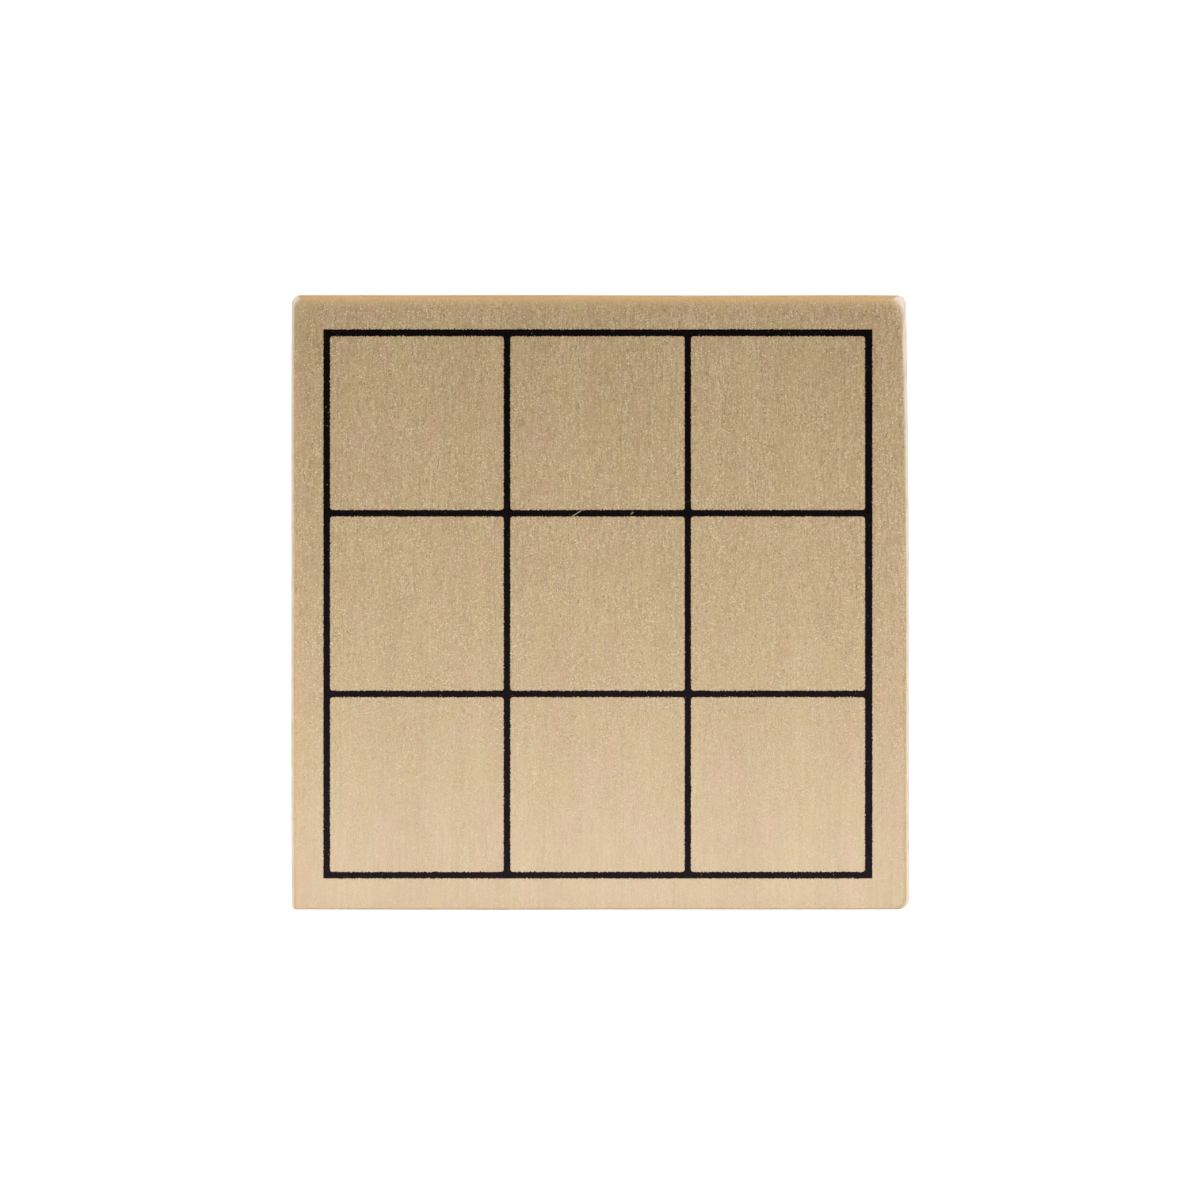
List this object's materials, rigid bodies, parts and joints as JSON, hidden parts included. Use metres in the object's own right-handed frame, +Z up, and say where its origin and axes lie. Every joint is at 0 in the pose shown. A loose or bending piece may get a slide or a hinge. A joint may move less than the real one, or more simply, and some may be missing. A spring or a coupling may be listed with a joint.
{
  "type": "tic-tac-toe box set",
  "caption": "Square wooden tic-tac-toe box: a finger-jointed tray with a lift-off lid printed with the playing grid, and loose wooden crosses and rings stored inside.",
  "frame": {"origin": "middle of the tray's underside, on the surface it stands on", "axes": "+Z up out of the printed playing face, +Y along the lid's grain towards the back wall, +X to the right as seen from the front"},
  "size_m": [0.1, 0.1, 0.03],
  "materials": {
    "lid_wood": "bare basswood, finely sanded, matte",
    "wall_wood": "bare basswood, finely sanded, matte",
    "panel_plywood": "bare three-ply basswood plywood, sanded, matte",
    "piece_wood": "bare basswood, tumbled, matte",
    "print_ink": "black screen-printing ink, matte, soaked into the grain"
  },
  "bodies": {
    "tray": {"base_panel": "panel_plywood", "front_wall": "wall_wood", "right_wall": "wall_wood", "back_wall": "wall_wood", "left_wall": "wall_wood"},
    "lid": {"lid_board": "lid_wood", "lid_liner": "panel_plywood", "printed_grid": "print_ink"},
    "cross_1": {"cross_1": "piece_wood"},
    "cross_2": {"cross_2": "piece_wood"},
    "cross_3": {"cross_3": "piece_wood"},
    "cross_4": {"cross_4": "piece_wood"},
    "cross_5": {"cross_5": "piece_wood"},
    "ring_1": {"ring_1": "piece_wood"},
    "ring_2": {"ring_2": "piece_wood"},
    "ring_3": {"ring_3": "piece_wood"},
    "ring_4": {"ring_4": "piece_wood"}
  },
  "joints": [
    {"name": "lid_lift", "type": "slide", "parent": "tray", "child": "lid", "axis": [0, 0, 1], "range_m": [0, 0.07]},
    {"name": "cross_1_lift", "type": "slide", "parent": "tray", "child": "cross_1", "axis": [0, 0, 1], "range_m": [0, 0.0097]},
    {"name": "cross_2_lift", "type": "slide", "parent": "tray", "child": "cross_2", "axis": [0, 0, 1], "range_m": [0, 0.0097]},
    {"name": "cross_3_lift", "type": "slide", "parent": "tray", "child": "cross_3", "axis": [0, 0, 1], "range_m": [0, 0.0097]},
    {"name": "cross_4_lift", "type": "slide", "parent": "tray", "child": "cross_4", "axis": [0, 0, 1], "range_m": [0, 0.0097]},
    {"name": "cross_5_lift", "type": "slide", "parent": "tray", "child": "cross_5", "axis": [0, 0, 1], "range_m": [0, 0.0097]},
    {"name": "ring_1_lift", "type": "slide", "parent": "tray", "child": "ring_1", "axis": [0, 0, 1], "range_m": [0, 0.0097]},
    {"name": "ring_2_lift", "type": "slide", "parent": "tray", "child": "ring_2", "axis": [0, 0, 1], "range_m": [0, 0.0097]},
    {"name": "ring_3_lift", "type": "slide", "parent": "tray", "child": "ring_3", "axis": [0, 0, 1], "range_m": [0, 0.0097]},
    {"name": "ring_4_lift", "type": "slide", "parent": "tray", "child": "ring_4", "axis": [0, 0, 1], "range_m": [0, 0.0097]}
  ]
}
